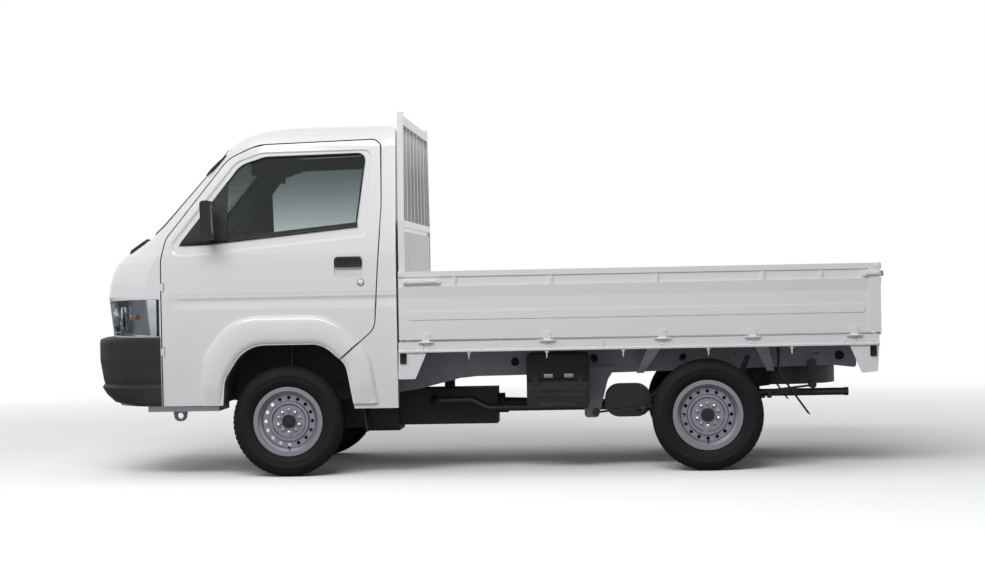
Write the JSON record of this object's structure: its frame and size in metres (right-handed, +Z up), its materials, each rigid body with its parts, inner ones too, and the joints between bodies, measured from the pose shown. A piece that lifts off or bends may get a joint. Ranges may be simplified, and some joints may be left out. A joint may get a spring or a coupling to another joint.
{
  "type": "compact cab-over drop-side truck",
  "caption": "Small white cab-over truck with a flat drop-side load bed, hinged gates and doors, a guard frame behind the cab and steered front wheels.",
  "frame": {"origin": "on the ground, at the middle of the length and width", "axes": "+X towards the tailgate, +Y towards the right side, +Z up; the cab faces -X"},
  "size_m": [4.1948, 2, 1.91],
  "materials": {
    "white_paint": "gloss",
    "cab_glass": "clear",
    "lamp_lens": "clear",
    "red_lens": "gloss",
    "black_plastic": "matt",
    "grey_underbody": "satin",
    "black_chassis": "satin",
    "bare_casting": "rough",
    "exhaust_steel": "satin",
    "silver_paint": "metallic",
    "tyre": "matt",
    "black_rubber": "matt",
    "seat_cloth": "woven",
    "dark_trim": "matt"
  },
  "bodies": {
    "truck": {"cab_roof": "white_paint", "cab_front": "white_paint", "cab_back": "white_paint", "cab_side_left": "white_paint", "cab_side_right": "white_paint", "cab_glass": "cab_glass", "headlamps": "lamp_lens", "grille": "black_plastic", "front_bumper": "black_plastic", "cab_floor": "grey_underbody", "dashboard": "dark_trim", "seats": "seat_cloth", "wipers": "black_plastic", "frame_rails": "grey_underbody", "frame_crossmembers": "grey_underbody", "tow_eye": "grey_underbody", "engine": "bare_casting", "exhaust": "exhaust_steel", "rear_axle": "black_chassis", "leaf_springs": "black_chassis", "front_suspension": "black_chassis", "battery_box": "black_plastic", "fuel_tank": "black_chassis", "mudguards": "black_rubber", "spare_wheel": "tyre", "deck": "white_paint", "headboard": "white_paint", "tail_lamps": "red_lens"},
    "door_left": {"door_left": "white_paint", "door_glass_left": "cab_glass", "door_fittings_left": "black_plastic"},
    "door_right": {"door_right": "white_paint", "door_glass_right": "cab_glass", "door_fittings_right": "black_plastic"},
    "side_gate_left": {"side_gate_left": "white_paint"},
    "side_gate_right": {"side_gate_right": "white_paint"},
    "tailgate": {"tailgate": "white_paint"},
    "steering_wheel": {"steering_wheel": "dark_trim"},
    "knuckle_left": {"knuckle_left": "bare_casting"},
    "knuckle_right": {"knuckle_right": "bare_casting"},
    "front_wheel_left": {"tyre_front_left": "tyre", "rim_front_left": "silver_paint"},
    "front_wheel_right": {"tyre_front_right": "tyre", "rim_front_right": "silver_paint"},
    "rear_wheel_left": {"tyre_rear_left": "tyre", "rim_rear_left": "silver_paint"},
    "rear_wheel_right": {"tyre_rear_right": "tyre", "rim_rear_right": "silver_paint"}
  },
  "joints": [
    {"name": "door_left_hinge", "type": "hinge", "parent": "truck", "child": "door_left", "pos_m": [-1.672, -0.836, 0.9], "axis": [0, 0, -1], "range_deg": [0, 65]},
    {"name": "door_right_hinge", "type": "hinge", "parent": "truck", "child": "door_right", "pos_m": [-1.672, 0.836, 0.9], "axis": [0, 0, 1], "range_deg": [0, 65]},
    {"name": "side_gate_left_hinge", "type": "hinge", "parent": "truck", "child": "side_gate_left", "pos_m": [0.8, -0.8745, 0.698], "axis": [1, 0, 0], "range_deg": [0, 176]},
    {"name": "side_gate_right_hinge", "type": "hinge", "parent": "truck", "child": "side_gate_right", "pos_m": [0.8, 0.8745, 0.698], "axis": [-1, 0, 0], "range_deg": [0, 176]},
    {"name": "tailgate_hinge", "type": "hinge", "parent": "truck", "child": "tailgate", "pos_m": [2.0895, 0, 0.698], "axis": [0, 1, 0], "range_deg": [0, 176]},
    {"name": "steer_left", "type": "hinge", "parent": "truck", "child": "knuckle_left", "pos_m": [-1.03, -0.632, 0.19], "axis": [0, 0.0963, 0.9954], "range_deg": [-33, 33]},
    {"name": "steer_right", "type": "hinge", "parent": "truck", "child": "knuckle_right", "pos_m": [-1.03, 0.632, 0.19], "axis": [0, -0.0963, 0.9954], "range_deg": [-33, 33]},
    {"name": "steering_wheel_turn", "type": "hinge", "parent": "truck", "child": "steering_wheel", "pos_m": [-1.395, 0.37, 1.125], "axis": [0.5736, 0, 0.8192], "range_deg": [-500, 500]},
    {"name": "spin_front_left", "type": "hinge", "parent": "knuckle_left", "child": "front_wheel_left", "pos_m": [-1.03, -0.726, 0.291], "axis": [0, 1, 0], "continuous": true},
    {"name": "spin_front_right", "type": "hinge", "parent": "knuckle_right", "child": "front_wheel_right", "pos_m": [-1.03, 0.726, 0.291], "axis": [0, 1, 0], "continuous": true},
    {"name": "spin_rear_left", "type": "hinge", "parent": "truck", "child": "rear_wheel_left", "pos_m": [1.175, -0.726, 0.291], "axis": [0, 1, 0], "continuous": true},
    {"name": "spin_rear_right", "type": "hinge", "parent": "truck", "child": "rear_wheel_right", "pos_m": [1.175, 0.726, 0.291], "axis": [0, 1, 0], "continuous": true}
  ],
  "couplings": [
    {"joint": "steer_right", "follows": "steer_left", "ratio": 1},
    {"joint": "steering_wheel_turn", "follows": "steer_left", "ratio": 15}
  ]
}
